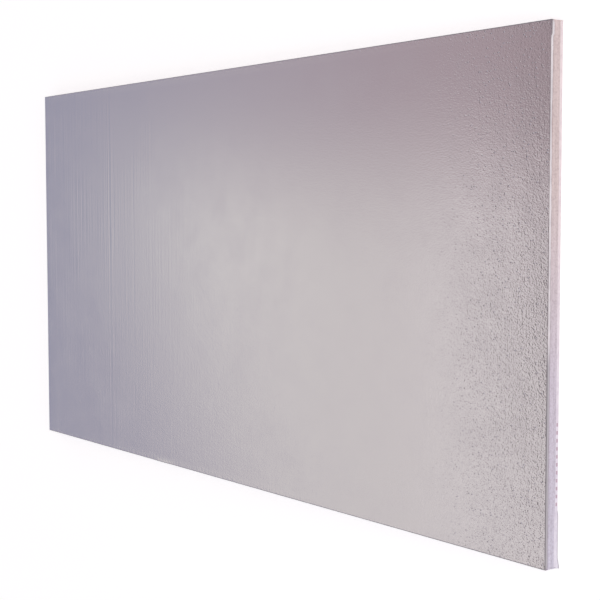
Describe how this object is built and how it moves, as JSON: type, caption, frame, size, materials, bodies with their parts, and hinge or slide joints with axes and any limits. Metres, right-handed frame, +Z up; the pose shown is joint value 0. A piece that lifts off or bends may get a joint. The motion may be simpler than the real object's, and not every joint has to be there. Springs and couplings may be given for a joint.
{
  "type": "foil-faced insulation board",
  "caption": "Flat slab of white bead foam with a metallised foil face, a plain white film back and narrow end laps, for lining walls, floors and roofs.",
  "frame": {"origin": "centre of the underside, at the back film's lower face", "axes": "+X along the board's length, +Y across its width, +Z up through its thickness, out of the foil face"},
  "size_m": [2.4384, 1.2192, 0.0381],
  "materials": {
    "white_foam": "expanded polystyrene bead foam, hot-wire cut, satin",
    "metallised_foil": "metallised film, semi-bright, faintly pebbled by the beads under it",
    "white_film": "thin white plastic film, semi-gloss"
  },
  "bodies": {
    "root": {"foam_core": "white_foam", "foil_facing": "metallised_foil", "back_film": "white_film"}
  },
  "joints": []
}
